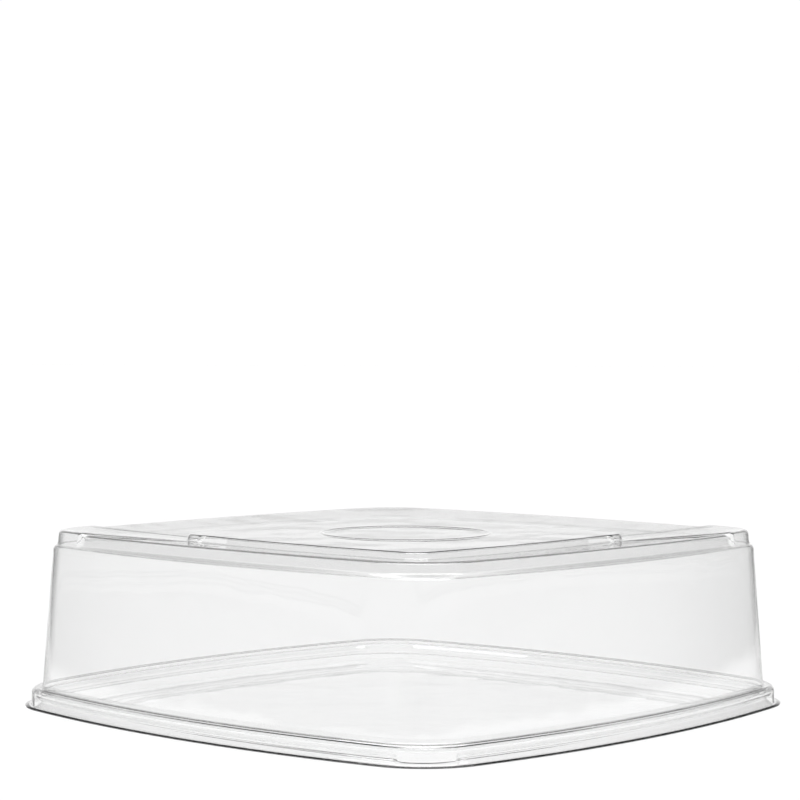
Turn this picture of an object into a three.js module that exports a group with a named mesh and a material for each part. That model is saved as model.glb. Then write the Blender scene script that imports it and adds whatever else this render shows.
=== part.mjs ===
// A clear humidity dome and the shallow tray it snaps over, both thermoformed from one thickness of sheet.
// Millimetres, +Z up. The tray stands on z = 0 and both pieces are centred on the Z axis.
import * as THREE from "three";

// Driving dimensions
const HALF_WIDTH = 150; // centre to the lip's edge, at the middle of a side
const SIDE_BOW = 573; // radius of the bowed sides at the lip
const LIP_CORNER = 38; // corner radius at the lip
const SHEET = 0.8; // sheet thickness
const DOME_LIFT = 0.4; // the dome's lip above the ground
const CREASE_INSET = 6; // how far the snap crease runs inside the lip's edge
const SHOULDER_INSET = 3.3; // how far the rounded shoulder stands inside the lip's edge
const WALL_FOOT_INSET = 8.3;
const WALL_TOP_INSET = 13.3; // the wall leans in by the difference, about 5 degrees of draft
const WALL_TOP_Z = 75.9;
const BAND_HALF = 130.5; // the step band around the top
const BAND_BOW = 900;
const BAND_CORNER = 34;
const BAND_FOOT_Z = 79.2;
const BAND_TOP_Z = 82.7;
const RIM_Z = 84; // the rim around the top
const BLOCK_INSET = 15.5; // the two corner blocks, which stand out of the step band
const BLOCK_RISE = 1; // how far the blocks rise above the rim
const PANEL_HALF = 79.8; // the raised square panel in the middle of the top
const PANEL_BOW = 560;
const PANEL_CORNER = 9;
const PANEL_FOOT_Z = 79.6; // the top is dished, so the panel rises out of a moat inside the rim
const PANEL_Z = 82.8;
const EAR_OUTSET = 1.2; // small ears at the two panel corners next to the blocks
const RING_RADIUS = 40.5; // plain raised ring on the panel
const RING_HALF_WIDTH = 1.5;
const RING_HEIGHT = 0.7;
const TAB_INSET = 3; // face of the release tabs, inside the lip's edge
const TRAY_RIM_INSET = 7.2; // clears the snap crease, so the dome lifts straight off
const TRAY_RIM_Z = 8.2;

// Half-widths of the corner features, as angles from the diagonal, in degrees
const TAB_EDGE = 3.8;
const EAR_EDGE = 6.2;
const BLOCK_EDGE = 8.5;
const EDGE_RUN = 0.7; // a feature's side falls away over this angle

// Angles from the diagonal where the rings of the mesh have a vertex. The diagonal is 0, a side's middle is 45.
const HALF_CORNER = [
  0, 2, TAB_EDGE, TAB_EDGE + EDGE_RUN, EAR_EDGE - EDGE_RUN / 2, EAR_EDGE + EDGE_RUN / 2,
  7.6, BLOCK_EDGE, BLOCK_EDGE + EDGE_RUN, 13, 18, 25, 34.5,
];
const QUARTER = [...HALF_CORNER, 45, ...HALF_CORNER.slice(1).reverse().map((angle) => 90 - angle)];
const SEGMENTS = QUARTER.length * 4;

// A square outline with bowed sides and round corners.
function outline(half, bow, corner) {
  return { half, bow, corner };
}

// An outline moved out square to itself by a distance, or in where the distance is below 0.
function grown({ half, bow, corner }, distance) {
  return outline(half + distance, bow + distance, corner + distance);
}

// One level of a sheet: its outline and height, and what a corner feature changes there:
// the outline that the feature follows and how far it lifts the sheet.
function level(plain, z, feature = null, featured = plain, rise = 0) {
  return { plain, z, feature, featured, rise };
}

const LIP = outline(HALF_WIDTH, SIDE_BOW, LIP_CORNER);
const BAND = outline(BAND_HALF, BAND_BOW, BAND_CORNER);
const PANEL = outline(PANEL_HALF, PANEL_BOW, PANEL_CORNER);

// A level whose outline runs parallel to the lip's edge.
function insetLevel(inset, z) {
  return level(grown(LIP, -inset), z);
}

// The same, with the release tabs standing out to their own face.
function tabLevel(inset, z) {
  return level(grown(LIP, -inset), z, "tab", grown(LIP, -TAB_INSET));
}

// A level of the step band, set in from the band's foot.
function bandLevel(inset, z, rise = 0) {
  return level(grown(BAND, -inset), z, "block", grown(LIP, -BLOCK_INSET - inset), rise);
}

// A level of the raised panel, set in from the panel's edge.
function panelLevel(inset, z) {
  return level(grown(PANEL, -inset), z, "ear", grown(PANEL, EAR_OUTSET - inset));
}

function roundLevel(radius, z) {
  return level(outline(radius, radius, radius), z);
}

const FEATURE_EDGES = { tab: TAB_EDGE, ear: EAR_EDGE, block: BLOCK_EDGE };

// Distance from the axis to an outline, at an angle in degrees from a corner's diagonal.
function outlineRadius({ half, bow, corner }, fromDiagonal) {
  const angle = THREE.MathUtils.degToRad(45 - fromDiagonal);
  const ray = new THREE.Vector2(Math.cos(angle), Math.sin(angle));
  const sideCentre = new THREE.Vector2(half - bow, 0);
  const reach = bow - corner;
  const cornerOffset = (sideCentre.x + Math.sqrt(2 * reach * reach - sideCentre.x * sideCentre.x)) / 2;
  const cornerCentre = new THREE.Vector2(cornerOffset, cornerOffset);
  const toCorner = cornerCentre.clone().sub(sideCentre).normalize();
  const tangent = sideCentre.clone().addScaledVector(toCorner, bow);
  const onSide = reach > 0 && angle < tangent.angle();
  const centre = onSide ? sideCentre : cornerCentre;
  const radius = onSide ? bow : corner;
  const along = centre.dot(ray);
  return along + Math.sqrt(along * along - centre.lengthSq() + radius * radius);
}

// Where a level's ring passes, at an angle from the diagonal of one corner. The corners are numbered
// from 0, at +X +Y. All four have a release tab, but only corners 1 and 3 have a block and an ear.
function ringPoint(at, fromDiagonal, corner) {
  if (at.plain.half === 0) {
    return { distance: 0, z: at.z };
  }
  const present = at.feature !== null && (at.feature === "tab" || corner % 2 === 1);
  const inFeature = present && fromDiagonal <= FEATURE_EDGES[at.feature] + EDGE_RUN / 4;
  return {
    distance: outlineRadius(inFeature ? at.featured : at.plain, fromDiagonal),
    z: at.z + (inFeature ? at.rise : 0),
  };
}

// The level one sheet thickness behind each level, measured square to the sheet.
function innerLevels(levels) {
  const points = levels.map(({ plain, z }) => new THREE.Vector2(plain.half, z));
  const normals = points.slice(1).map((point, i) => {
    const run = point.clone().sub(points[i]).normalize();
    return new THREE.Vector2(-run.y, run.x);
  });
  return levels.map((outer, i) => {
    const before = normals[Math.max(i - 1, 0)];
    const after = normals[Math.min(i, normals.length - 1)];
    const mitre = before.clone().add(after).normalize();
    const step = mitre.multiplyScalar(SHEET / mitre.dot(after));
    const behind = (at) => {
      const { half, bow, corner } = grown(at, step.x);
      return outline(half, Math.max(bow, half), Math.min(Math.max(corner, PANEL_CORNER / 2), half));
    };
    return {
      ...outer,
      z: outer.z + step.y,
      plain: outer.plain.half > 0 ? behind(outer.plain) : outer.plain,
      featured: behind(outer.featured),
    };
  });
}

// A closed sheet through the levels, which run from its edge to the axis. LatheGeometry makes the rings,
// and each ring is then moved from a circle to its level's outline.
function sheetGeometry(levels) {
  const loop = [...levels, ...innerLevels(levels).reverse()];
  const profile = loop.map(({ plain, z }) => new THREE.Vector2(plain.half, z));
  profile.push(profile[0].clone());
  loop.push(loop[0]);
  const geometry = new THREE.LatheGeometry(profile, SEGMENTS);
  const position = geometry.getAttribute("position");
  for (let i = 0; i < position.count; i++) {
    const at = loop[i % loop.length];
    const ring = Math.floor(i / loop.length) % SEGMENTS;
    const quarter = Math.floor(ring / QUARTER.length);
    const withinQuarter = QUARTER[ring % QUARTER.length];
    const turn = THREE.MathUtils.degToRad(quarter * 90 + 45 + withinQuarter);
    const corner = withinQuarter < 45 ? quarter : quarter + 1;
    const fromDiagonal = Math.min(withinQuarter, 90 - withinQuarter);
    const { distance, z } = ringPoint(at, fromDiagonal, corner);
    position.setXYZ(i, distance * Math.cos(turn), distance * Math.sin(turn), z);
  }
  geometry.computeVertexNormals();
  return geometry;
}

// The dome's outer face, from the lip's edge up to the middle of the panel.
function domeLevels() {
  const lipTop = DOME_LIFT + SHEET;
  return [
    insetLevel(0, lipTop),
    insetLevel(SHOULDER_INSET - 0.3, lipTop + 0.3),
    tabLevel(CREASE_INSET, lipTop + 3),
    tabLevel(SHOULDER_INSET, lipTop + 5.4),
    tabLevel(SHOULDER_INSET, lipTop + 7),
    insetLevel(4.8, lipTop + 8.7),
    insetLevel(7.5, lipTop + 8.2),
    insetLevel(WALL_FOOT_INSET, lipTop + 9.2),
    insetLevel(WALL_TOP_INSET, WALL_TOP_Z),
    insetLevel(13.8, WALL_TOP_Z + 1.5),
    insetLevel(BLOCK_INSET - 0.3, WALL_TOP_Z + 2.2),
    bandLevel(0, BAND_FOOT_Z),
    bandLevel(0.4, BAND_TOP_Z, BLOCK_RISE),
    bandLevel(1, BAND_TOP_Z + 0.9, BLOCK_RISE),
    bandLevel(2.6, RIM_Z, BLOCK_RISE),
    bandLevel(4.5, RIM_Z - 0.2, BLOCK_RISE),
    panelLevel(-1.6, PANEL_FOOT_Z),
    panelLevel(-0.5, PANEL_FOOT_Z + 0.4),
    panelLevel(0, PANEL_Z - 0.7),
    panelLevel(0.8, PANEL_Z),
    roundLevel(RING_RADIUS + RING_HALF_WIDTH, PANEL_Z),
    roundLevel(RING_RADIUS, PANEL_Z + RING_HEIGHT),
    roundLevel(RING_RADIUS - RING_HALF_WIDTH, PANEL_Z),
    roundLevel(0, PANEL_Z),
  ];
}

// The tray's upper face, from the rim's turned-down edge to the middle of the floor.
function trayLevels() {
  return [
    insetLevel(TRAY_RIM_INSET, TRAY_RIM_Z - 1.8),
    insetLevel(TRAY_RIM_INSET, TRAY_RIM_Z - 0.4),
    insetLevel(TRAY_RIM_INSET + 0.5, TRAY_RIM_Z),
    insetLevel(TRAY_RIM_INSET + 3.4, TRAY_RIM_Z),
    insetLevel(TRAY_RIM_INSET + 4.2, TRAY_RIM_Z - 0.7),
    insetLevel(15.5, SHEET + 1),
    insetLevel(16.8, SHEET),
    roundLevel(0, SHEET),
  ];
}

function clearPlastic(name) {
  return new THREE.MeshStandardMaterial({
    name,
    color: 0xf2f5f6,
    roughness: 0.06,
    metalness: 0,
    transparent: true,
    opacity: 0.3,
    side: THREE.DoubleSide,
  });
}

function sheetPiece(name, levels) {
  const mesh = new THREE.Mesh(sheetGeometry(levels), clearPlastic("clear_" + name));
  mesh.name = name;
  return mesh;
}

const group = new THREE.Group();
group.add(sheetPiece("tray", trayLevels()), sheetPiece("dome", domeLevels()));

export default group;
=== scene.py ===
import math

import bpy
import numpy as np
from mathutils import Euler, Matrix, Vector


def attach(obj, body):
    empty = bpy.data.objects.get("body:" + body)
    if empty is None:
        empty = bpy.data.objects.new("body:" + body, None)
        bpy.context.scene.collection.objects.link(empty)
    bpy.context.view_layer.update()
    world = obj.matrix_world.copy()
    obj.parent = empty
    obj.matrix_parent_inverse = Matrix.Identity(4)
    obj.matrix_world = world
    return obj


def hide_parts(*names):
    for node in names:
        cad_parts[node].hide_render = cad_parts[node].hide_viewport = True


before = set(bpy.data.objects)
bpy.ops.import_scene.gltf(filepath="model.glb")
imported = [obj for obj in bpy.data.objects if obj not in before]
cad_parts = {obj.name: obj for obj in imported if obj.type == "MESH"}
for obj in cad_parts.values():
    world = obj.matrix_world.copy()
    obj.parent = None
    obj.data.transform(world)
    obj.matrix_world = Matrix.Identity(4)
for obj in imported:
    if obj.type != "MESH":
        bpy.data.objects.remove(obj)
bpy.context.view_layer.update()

MM = 0.001

# The sheet's outline, in millimetres, as on the CAD model
HALF_WIDTH = 150.0
SIDE_BOW = 573.0
LIP_CORNER = 38.0
SHEET = 0.8
DOME_LIFT = 0.4
CREASE_INSET = 6.0
SHOULDER_INSET = 3.3
TAB_INSET = 3.0
WALL_FOOT_INSET = 8.3
WALL_TOP_INSET = 13.3
WALL_TOP_Z = 75.9
BAND_HALF = 130.5
BAND_BOW = 900.0
BAND_CORNER = 34.0
BAND_FOOT_Z = 79.2
BAND_TOP_Z = 82.7
RIM_Z = 84.0
BLOCK_INSET = 15.5
BLOCK_RISE = 1.0
PANEL_HALF = 79.8
PANEL_BOW = 560.0
PANEL_CORNER = 9.0
PANEL_FOOT_Z = 79.6
PANEL_Z = 82.8
EAR_OUTSET = 1.2
RING_RADIUS = 40.5
RING_HALF_WIDTH = 1.5
RING_HEIGHT = 0.7
TRAY_RIM_INSET = 7.2
TRAY_RIM_Z = 8.2

# Corner features: half-width and side run, in degrees from the diagonal
FEATURES = {"tab": (3.8, 0.5), "ear": (6.1, 0.6), "block": (8.4, 0.6)}

# The sheet is drawn thinner than on the CAD model, which is thick enough to print and collide
VISIBLE_SHEET = 0.45
BLOCK_REACH = 0.0344  # how far a block runs from its diagonal, as |x| - |y|, in metres
DRAWN_HAZE = 0.08  # roughness added where the sheet is drawn thin
# Painted shade: the tone that the steep band faces under the top are darkened towards
BAND_PAINTED_SHADE_TONE = 0.85

# The camera looks across the corner at -X -Y; angles in radians, lengths in metres

CAMERA_TURN = math.radians(45) + 0.051
CAMERA_DISTANCE = 1.1971
CAMERA_HEIGHT = 0.1808
CAMERA_PITCH = 0.028
CAMERA_ROLL = 0.003
CAMERA_YAW = 0.0024
CAMERA_LENS = 111.7  # millimetres
SENSOR_WIDTH = 36.0

# Looks of the sheet
WAVE_SCALE = 22.0  # slow ripple
FINE_SCALE = 260.0  # fine haze
FINE_ROUGHNESS = 0.03
RIPPLE_DEPTH = 0.0012
EDGE_SCALE = 400.0
GRAZING_START = 0.35
SHADOW_PASS = 0.985

# Light
LAMP_ENERGY = 3.1
LAMP_ANGLE = math.radians(70)
ROOM_GLOW = 0.15  # the room beside and behind the camera
FLOOR_SIZE = 24.0
FLOOR_DROP = 0.0002  # keeps the floor's face clear of the tray's

CLEAR_BOUNCES = 32  # enough for every face of clear sheet along one line of sight

# Painted light on the floor: its colour is palest in a lane along the camera's direction that widens away
# from it, and painted dim beside the lane
FLOOR_BRIGHT_HALF = 0.36
FLOOR_DIM_HALF = 0.52
FLOOR_SPREAD = 0.3
FLOOR_PAINTED_LIT = 0.9
FLOOR_PAINTED_DIM = 0.18


# ---------------------------------------------------------------- geometry

LIP = (HALF_WIDTH, SIDE_BOW, LIP_CORNER)
BAND = (BAND_HALF, BAND_BOW, BAND_CORNER)
PANEL = (PANEL_HALF, PANEL_BOW, PANEL_CORNER)


def grown(shape, distance):
    """An outline moved out square to itself."""
    return tuple(size + distance for size in shape)


def outline(shape, off):
    """Distance from the axis to a bowed, round-cornered square, at angles off the diagonal."""
    half, bow, corner = shape
    angle = math.pi / 4 - off
    ray = np.stack([np.cos(angle), np.sin(angle)], -1)
    side = half - bow
    reach = bow - corner
    centre = (side + math.sqrt(max(2 * reach * reach - side * side, 0.0))) / 2
    to_corner = np.array([centre - side, centre])
    to_corner /= max(np.linalg.norm(to_corner), 1e-9)
    tangent = np.array([side, 0.0]) + to_corner * bow
    on_side = (angle < math.atan2(tangent[1], tangent[0])) & (reach > 1e-6)
    cx = np.where(on_side, side, centre)
    cy = np.where(on_side, 0.0, centre)
    radius = np.where(on_side, bow, corner)
    along = cx * ray[:, 0] + cy * ray[:, 1]
    return along + np.sqrt(along ** 2 - cx ** 2 - cy ** 2 + radius ** 2)


def ease(x):
    x = np.clip(x, 0.0, 1.0)
    return x * x * (3 - 2 * x)


class Level:
    """One ring of a sheet: its outline, its height and how soft its bend is. A corner feature follows
    an outline of its own there and may lift the sheet."""

    def __init__(self, plain, z, soft, feature=None, featured=None, rise=0.0):
        self.plain, self.z, self.soft = plain, z, soft
        self.feature, self.featured, self.rise = feature, featured, rise

    def ring(self, off, quadrant):
        """Distance from the axis and height, one row for each angle."""
        height = np.full_like(off, self.z)
        if self.plain[0] == 0:
            return np.stack([np.zeros_like(off), height], -1)
        radius = outline(self.plain, off)
        if self.feature is not None:
            edge, run = FEATURES[self.feature]
            inside = ease((edge + run - np.degrees(off)) / run)
            if self.feature != "tab":
                inside = inside * (quadrant % 2)
            radius = radius + (outline(self.featured, off) - radius) * inside
            height = height + self.rise * inside
        return np.stack([radius, height], -1)


def lip_level(inset, z, soft):
    return Level(grown(LIP, -inset), z, soft)


def tab_level(inset, z, soft):
    return Level(grown(LIP, -inset), z, soft, "tab", grown(LIP, -TAB_INSET))


def band_level(inset, z, soft, rise=0.0):
    return Level(grown(BAND, -inset), z, soft, "block", grown(LIP, -BLOCK_INSET - inset), rise)


def panel_level(inset, z, soft):
    return Level(grown(PANEL, -inset), z, soft, "ear", grown(PANEL, EAR_OUTSET - inset))


def round_level(radius, z, soft):
    return Level((radius, radius, radius), z, soft)


def quarter_angles():
    near = np.arange(0, 12.6, 0.35)
    far = np.linspace(near[-1] + 1.3, 45, 22)
    half = np.concatenate([near, far])
    return np.concatenate([half, 90 - half[-2:0:-1]])


CORNER_STEPS = 4
GUARD = 0.5


def rounded(points, soft):
    """The polyline with each inner corner rounded; points is (levels, angles, 2)."""
    rows = [points[0]]
    for i in range(1, len(points) - 1):
        before, here, after = points[i - 1], points[i], points[i + 1]
        back, ahead = before - here, after - here
        back_len = np.linalg.norm(back, axis=-1, keepdims=True)
        ahead_len = np.linalg.norm(ahead, axis=-1, keepdims=True)
        back, ahead = back / back_len, ahead / ahead_len
        trim_in = np.minimum(soft[i], 0.42 * back_len)
        trim_out = np.minimum(soft[i], 0.42 * ahead_len)
        guard_in = np.minimum(GUARD, 0.06 * back_len)
        guard_out = np.minimum(GUARD, 0.06 * ahead_len)
        start, end = here + back * trim_in, here + ahead * trim_out
        rows.append(start + back * guard_in)
        for t in np.linspace(0, 1, CORNER_STEPS + 1):
            rows.append(start * (1 - t) ** 2 + here * (2 * t * (1 - t)) + end * t ** 2)
        rows.append(end + ahead * guard_out)
    rows.append(points[-1])
    return np.array(rows)


def shell(levels, name, thickness):
    """A closed sheet of one thickness through the levels, as a smooth mesh."""
    quarter = quarter_angles()
    count = len(quarter)
    within = np.tile(quarter, 4)
    turn = np.radians(np.repeat(np.arange(4) * 90 + 45, count) + within)
    off = np.radians(np.minimum(within, 90 - within))
    quadrant = (np.round((np.degrees(turn) - 45) / 90)).astype(int) % 4
    rings = np.stack([level.ring(off, quadrant) for level in levels])
    outer = rounded(rings, [level.soft for level in levels])
    run = np.gradient(outer, axis=0)
    run /= np.maximum(np.linalg.norm(run, axis=-1, keepdims=True), 1e-9)
    inner = outer + thickness * np.stack([-run[..., 1], run[..., 0]], -1)
    inner[-1, :, 0] = 0.0
    loop = np.concatenate([outer[:-1], outer[-1:], inner[-1:], inner[:-1][::-1]])
    top, under = len(outer) - 1, len(outer)
    segments = len(off)
    verts, index = [], np.zeros((len(loop), segments), int)
    for r, row in enumerate(loop):
        if r in (top, under):
            index[r] = len(verts)
            verts.append((0.0, 0.0, row[0, 1] * MM))
            continue
        index[r] = len(verts) + np.arange(segments)
        xs = row[:, 0] * np.cos(turn) * MM
        ys = row[:, 0] * np.sin(turn) * MM
        verts.extend(zip(xs, ys, row[:, 1] * MM))
    faces = []
    for r in range(len(loop)):
        s = (r + 1) % len(loop)
        if {r, s} == {top, under}:
            continue
        for j in range(segments):
            k = (j + 1) % segments
            face = (index[r][j], index[r][k], index[s][k], index[s][j])
            faces.append(tuple(dict.fromkeys(int(v) for v in face)))
    mesh = bpy.data.meshes.new(name)
    mesh.from_pydata(verts, [], faces)
    mesh.update()
    mesh.shade_smooth()
    for polygon in mesh.polygons[-segments:]:
        polygon.material_index = 1
    obj = bpy.data.objects.new(name, mesh)
    bpy.context.collection.objects.link(obj)
    return obj


def dome_levels():
    lip = DOME_LIFT + SHEET
    return [
        lip_level(0.0, lip, 0),
        lip_level(SHOULDER_INSET - 0.3, lip + 0.3, 0.9),
        tab_level(CREASE_INSET, lip + 3.0, 1.0),
        tab_level(SHOULDER_INSET, lip + 5.4, 1.2),
        tab_level(SHOULDER_INSET, lip + 7.0, 1.0),
        lip_level(4.8, lip + 8.7, 1.0),
        lip_level(7.5, lip + 8.2, 0.9),
        lip_level(WALL_FOOT_INSET, lip + 9.2, 0.8),
        lip_level(WALL_TOP_INSET, WALL_TOP_Z, 1.2),
        lip_level(13.8, WALL_TOP_Z + 1.5, 0.9),
        lip_level(BLOCK_INSET - 0.3, WALL_TOP_Z + 2.2, 0.8),
        band_level(0.0, BAND_FOOT_Z, 0.8),
        band_level(0.4, BAND_TOP_Z, 0.9, BLOCK_RISE),
        band_level(1.0, BAND_TOP_Z + 0.9, 0.9, BLOCK_RISE),
        band_level(2.6, RIM_Z, 1.2, BLOCK_RISE),
        band_level(4.5, RIM_Z - 0.2, 1.5, BLOCK_RISE),
        panel_level(-1.6, PANEL_FOOT_Z, 0.5),
        panel_level(-0.5, PANEL_FOOT_Z + 0.4, 0.5),
        panel_level(0.0, PANEL_Z - 0.7, 0.5),
        panel_level(0.8, PANEL_Z, 0.6),
        round_level(RING_RADIUS + RING_HALF_WIDTH, PANEL_Z, 0.7),
        round_level(RING_RADIUS, PANEL_Z + RING_HEIGHT, 0.7),
        round_level(RING_RADIUS - RING_HALF_WIDTH, PANEL_Z, 0.7),
        round_level(0, PANEL_Z, 0),
    ]


def tray_levels():
    return [
        lip_level(TRAY_RIM_INSET, TRAY_RIM_Z - 1.8, 0),
        lip_level(TRAY_RIM_INSET, TRAY_RIM_Z - 0.5, 0.5),
        lip_level(TRAY_RIM_INSET + 0.5, TRAY_RIM_Z, 0.5),
        lip_level(TRAY_RIM_INSET + 3.4, TRAY_RIM_Z, 0.6),
        lip_level(TRAY_RIM_INSET + 4.2, TRAY_RIM_Z - 0.7, 0.8),
        lip_level(15.5, VISIBLE_SHEET + 1.0, 0.9),
        lip_level(16.8, VISIBLE_SHEET, 1.0),
        round_level(0, VISIBLE_SHEET, 0),
    ]


# ---------------------------------------------------------------- materials

def link(tree, a, b):
    tree.links.new(a, b)


def math_node(tree, operation, *values):
    """A Math node's output; each value is a number or another node's output."""
    node = tree.nodes.new("ShaderNodeMath")
    node.operation = operation
    for socket, value in zip(node.inputs, values):
        if isinstance(value, (int, float)):
            socket.default_value = value
        else:
            link(tree, value, socket)
    return node.outputs[0]


def ramp_node(tree, value, low, high, at_low=0.0, at_high=1.0):
    node = tree.nodes.new("ShaderNodeMapRange")
    node.interpolation_type = "SMOOTHSTEP"
    link(tree, value, node.inputs["Value"])
    node.inputs["From Min"].default_value = low
    node.inputs["From Max"].default_value = high
    node.inputs["To Min"].default_value = at_low
    node.inputs["To Max"].default_value = at_high
    return node.outputs["Result"]


def band_haze_and_painted_shade_mask(tree, place):
    """1 on the steep faces just under the top, where haze is added for the thinly drawn sheet and shade is
    painted into its colour, but 0 on the blocks.
    """
    axes = tree.nodes.new("ShaderNodeSeparateXYZ")
    link(tree, place, axes.inputs[0])
    normal = tree.nodes.new("ShaderNodeSeparateXYZ")
    geometry = tree.nodes.new("ShaderNodeNewGeometry")
    link(tree, geometry.outputs["Normal"], normal.inputs[0])
    steep = ramp_node(tree, math_node(tree, "ABSOLUTE", normal.outputs["Z"]), 0.5, 0.85, 1.0, 0.0)
    x, y, z = axes.outputs
    above = ramp_node(tree, z, (BAND_FOOT_Z - 0.6) * MM, (BAND_FOOT_Z + 0.3) * MM)
    below = ramp_node(tree, z, (BAND_TOP_Z - 0.2) * MM, (BAND_TOP_Z + 0.7) * MM, 1.0, 0.0)
    reach_x = math_node(tree, "ABSOLUTE", x)
    reach_y = math_node(tree, "ABSOLUTE", y)
    off = math_node(tree, "ABSOLUTE", math_node(tree, "SUBTRACT", reach_x, reach_y))
    clear_of_block = ramp_node(tree, off, BLOCK_REACH, BLOCK_REACH + 0.002)
    same_sign = math_node(tree, "GREATER_THAN", math_node(tree, "MULTIPLY", x, y), 0.0)
    beside = math_node(tree, "MAXIMUM", clear_of_block, same_sign)
    mask = math_node(tree, "MULTIPLY", steep, above)
    mask = math_node(tree, "MULTIPLY", mask, below)
    return math_node(tree, "MULTIPLY", mask, beside)


def clear_plastic(name, tint, ripple, ior, edge_tone, band_haze_and_painted_shade=False):
    """Clear thermoformed sheet: a slow ripple, fine haze, and shadows that let light through."""
    mat = bpy.data.materials.new(name)
    mat.use_nodes = True
    tree = mat.node_tree
    tree.nodes.clear()
    new = tree.nodes.new
    out = new("ShaderNodeOutputMaterial")
    coords = new("ShaderNodeTexCoord")
    place = coords.outputs["Object"]
    wave = new("ShaderNodeTexNoise")
    wave.inputs["Scale"].default_value = WAVE_SCALE
    wave.inputs["Detail"].default_value = 2.0
    fine = new("ShaderNodeTexNoise")
    fine.inputs["Scale"].default_value = FINE_SCALE
    fine.inputs["Detail"].default_value = 3.0
    link(tree, place, wave.inputs["Vector"])
    link(tree, place, fine.inputs["Vector"])
    bump = new("ShaderNodeBump")
    bump.inputs["Strength"].default_value = ripple
    bump.inputs["Distance"].default_value = RIPPLE_DEPTH
    link(tree, wave.outputs["Fac"], bump.inputs["Height"])
    rough = ramp_node(tree, fine.outputs["Fac"], 0.35, 0.65, 0.0, FINE_ROUGHNESS)
    tone = new("ShaderNodeMix")
    tone.data_type = "RGBA"
    tone.inputs["A"].default_value = (*tint, 1)
    tone.inputs["B"].default_value = (0.99, 0.99, 0.99, 1)
    link(tree, wave.outputs["Fac"], tone.inputs["Factor"])
    colour = tone.outputs["Result"]
    # The mask adds haze and paints shade: the band's steep faces are darkened towards the painted shade tone
    if band_haze_and_painted_shade:
        mask = band_haze_and_painted_shade_mask(tree, place)
        rough = math_node(tree, "ADD", rough, math_node(tree, "MULTIPLY", mask, DRAWN_HAZE))
        shade = new("ShaderNodeMix")
        shade.data_type = "RGBA"
        link(tree, mask, shade.inputs["Factor"])
        link(tree, colour, shade.inputs["A"])
        shade.inputs["B"].default_value = (BAND_PAINTED_SHADE_TONE, BAND_PAINTED_SHADE_TONE, BAND_PAINTED_SHADE_TONE, 1)
        colour = shade.outputs["Result"]
    facing = new("ShaderNodeLayerWeight")
    facing.inputs["Blend"].default_value = 0.5
    grazing = ramp_node(tree, facing.outputs["Facing"], GRAZING_START, 1.0, 1.0, edge_tone)
    dimmed = new("ShaderNodeVectorMath")
    dimmed.operation = "SCALE"
    link(tree, colour, dimmed.inputs[0])
    link(tree, grazing, dimmed.inputs["Scale"])
    colour = dimmed.outputs[0]
    pet = new("ShaderNodeBsdfPrincipled")
    pet.inputs["Transmission Weight"].default_value = 1.0
    pet.inputs["IOR"].default_value = ior
    link(tree, colour, pet.inputs["Base Color"])
    link(tree, rough, pet.inputs["Roughness"])
    link(tree, bump.outputs["Normal"], pet.inputs["Normal"])
    paths = new("ShaderNodeLightPath")
    passing = math_node(tree, "MAXIMUM", paths.outputs["Is Shadow Ray"], paths.outputs["Is Diffuse Ray"])
    through = new("ShaderNodeBsdfTransparent")
    through.inputs["Color"].default_value = (SHADOW_PASS, SHADOW_PASS, SHADOW_PASS, 1)
    both = new("ShaderNodeMixShader")
    link(tree, passing, both.inputs["Fac"])
    link(tree, pet.outputs["BSDF"], both.inputs[1])
    link(tree, through.outputs["BSDF"], both.inputs[2])
    link(tree, both.outputs["Shader"], out.inputs["Surface"])
    return mat


def cut_edge(name):
    """The trimmed edge of the sheet, which is duller than its faces."""
    mat = bpy.data.materials.new(name)
    mat.use_nodes = True
    tree = mat.node_tree
    shader = tree.nodes["Principled BSDF"]
    noise = tree.nodes.new("ShaderNodeTexNoise")
    noise.inputs["Scale"].default_value = EDGE_SCALE
    coords = tree.nodes.new("ShaderNodeTexCoord")
    link(tree, coords.outputs["Object"], noise.inputs["Vector"])
    link(tree, ramp_node(tree, noise.outputs["Fac"], 0.3, 0.7, 0.35, 0.6), shader.inputs["Roughness"])
    shader.inputs["Base Color"].default_value = (0.8, 0.81, 0.82, 1)
    shader.inputs["Alpha"].default_value = 0.25
    return mat


def floor_material():
    mat = bpy.data.materials.new("floor_painted_light_lane")
    mat.use_nodes = True
    tree = mat.node_tree
    shader = tree.nodes["Principled BSDF"]
    coords = tree.nodes.new("ShaderNodeTexCoord")
    place = tree.nodes.new("ShaderNodeSeparateXYZ")
    link(tree, coords.outputs["Object"], place.inputs[0])
    across = math_node(tree, "ABSOLUTE", place.outputs["X"])
    away = math_node(tree, "MAXIMUM", place.outputs["Y"], 0.0)
    spread = math_node(tree, "MULTIPLY_ADD", away, -FLOOR_SPREAD, across)
    # Painted light: the floor's colour is bright in the lane and painted dim beside it, standing for a pool
    # of light
    tone = ramp_node(tree, spread, FLOOR_BRIGHT_HALF, FLOOR_DIM_HALF, FLOOR_PAINTED_LIT, FLOOR_PAINTED_DIM)
    link(tree, tone, shader.inputs["Base Color"])
    shader.inputs["Roughness"].default_value = 0.9
    return mat


# ---------------------------------------------------------------- the two pieces

dome = shell(dome_levels(), "dome_shell", VISIBLE_SHEET)
tray = shell(tray_levels(), "tray_shell", VISIBLE_SHEET)
# The dome's band under the top gets added haze and painted shade
dome.data.materials.append(clear_plastic("dome_plastic", (0.978, 0.98, 0.98), 0.2, 1.5, 0.5, band_haze_and_painted_shade=True))
tray.data.materials.append(clear_plastic("tray_plastic", (0.99, 0.993, 0.993), 0.15, 1.1, 0.98))
dome.data.materials.append(cut_edge("dome_edge"))
tray.data.materials.append(cut_edge("tray_edge"))
for piece, node, body, slot in (
    (dome, "dome", "dome", "clear_dome"),
    (tray, "tray", "tray", "clear_tray"),
):
    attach(piece, body)
    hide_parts(node)

# ---------------------------------------------------------------- stage, light and camera

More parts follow.
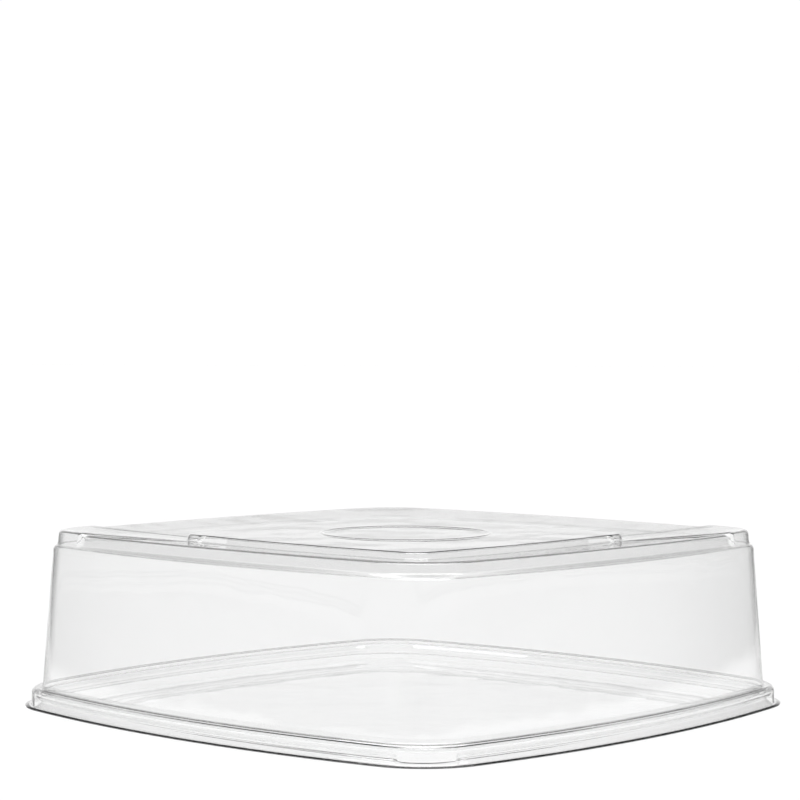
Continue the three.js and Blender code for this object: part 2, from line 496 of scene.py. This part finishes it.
back = Vector((math.sin(CAMERA_TURN), math.cos(CAMERA_TURN), 0))

bpy.ops.mesh.primitive_plane_add(size=FLOOR_SIZE, location=(0, 0, -FLOOR_DROP), rotation=(0, 0, -CAMERA_TURN))
floor = bpy.context.object
floor.name = "floor"
floor.data.materials.append(floor_material())

lamp = bpy.data.lights.new("overhead", "SUN")
lamp.energy = LAMP_ENERGY
lamp.angle = LAMP_ANGLE
overhead = bpy.data.objects.new("overhead", lamp)
overhead.location = (0, 0, 2)
bpy.context.collection.objects.link(overhead)

scene = bpy.context.scene
world = bpy.data.worlds.new("studio")
scene.world = world
world.use_nodes = True
wt = world.node_tree
sky = wt.nodes["Background"]
coords = wt.nodes.new("ShaderNodeTexCoord")
up = Vector((0, 0, 1))


def glow_ramp(direction, low, high, at_low, at_high):
    """A ramp over how far a ray of the world points along a direction."""
    along = wt.nodes.new("ShaderNodeVectorMath")
    along.operation = "DOT_PRODUCT"
    along.inputs[1].default_value = direction
    link(wt, coords.outputs["Generated"], along.inputs[0])
    return ramp_node(wt, along.outputs["Value"], low, high, at_low, at_high)


backdrop = glow_ramp(back, 0.75, 0.95, 0.0, 1.0)
horizon = glow_ramp(up, 0.02, 0.09, 1.25, 1.02)
above = glow_ramp(up, 0.22, 0.32, 1.0, 0.45)
screen = math_node(wt, "MULTIPLY", horizon, above)
glow = wt.nodes.new("ShaderNodeMix")
glow.data_type = "FLOAT"
link(wt, backdrop, glow.inputs["Factor"])
glow.inputs["A"].default_value = ROOM_GLOW
link(wt, screen, glow.inputs["B"])
link(wt, glow.outputs["Result"], sky.inputs["Strength"])
sky.inputs["Color"].default_value = (1, 1, 1, 1)

scene.view_settings.view_transform = "Standard"
scene.cycles.max_bounces = CLEAR_BOUNCES
scene.cycles.transmission_bounces = CLEAR_BOUNCES
scene.cycles.transparent_max_bounces = CLEAR_BOUNCES

camera = bpy.data.cameras.new("camera")
camera.lens = CAMERA_LENS
camera.sensor_width = SENSOR_WIDTH
camera.clip_start, camera.clip_end = 0.05, 100.0
cam = bpy.data.objects.new("camera", camera)
bpy.context.collection.objects.link(cam)
cam.location = back * -CAMERA_DISTANCE + Vector((0, 0, CAMERA_HEIGHT))
turn = Euler((0, 0, -CAMERA_TURN + CAMERA_YAW)).to_matrix()
tilt = Euler((math.pi / 2 - CAMERA_PITCH, 0, 0)).to_matrix()
roll = Euler((0, 0, CAMERA_ROLL)).to_matrix()
cam.rotation_mode = "XYZ"
cam.rotation_euler = (turn @ tilt @ roll).to_euler()
scene.camera = cam
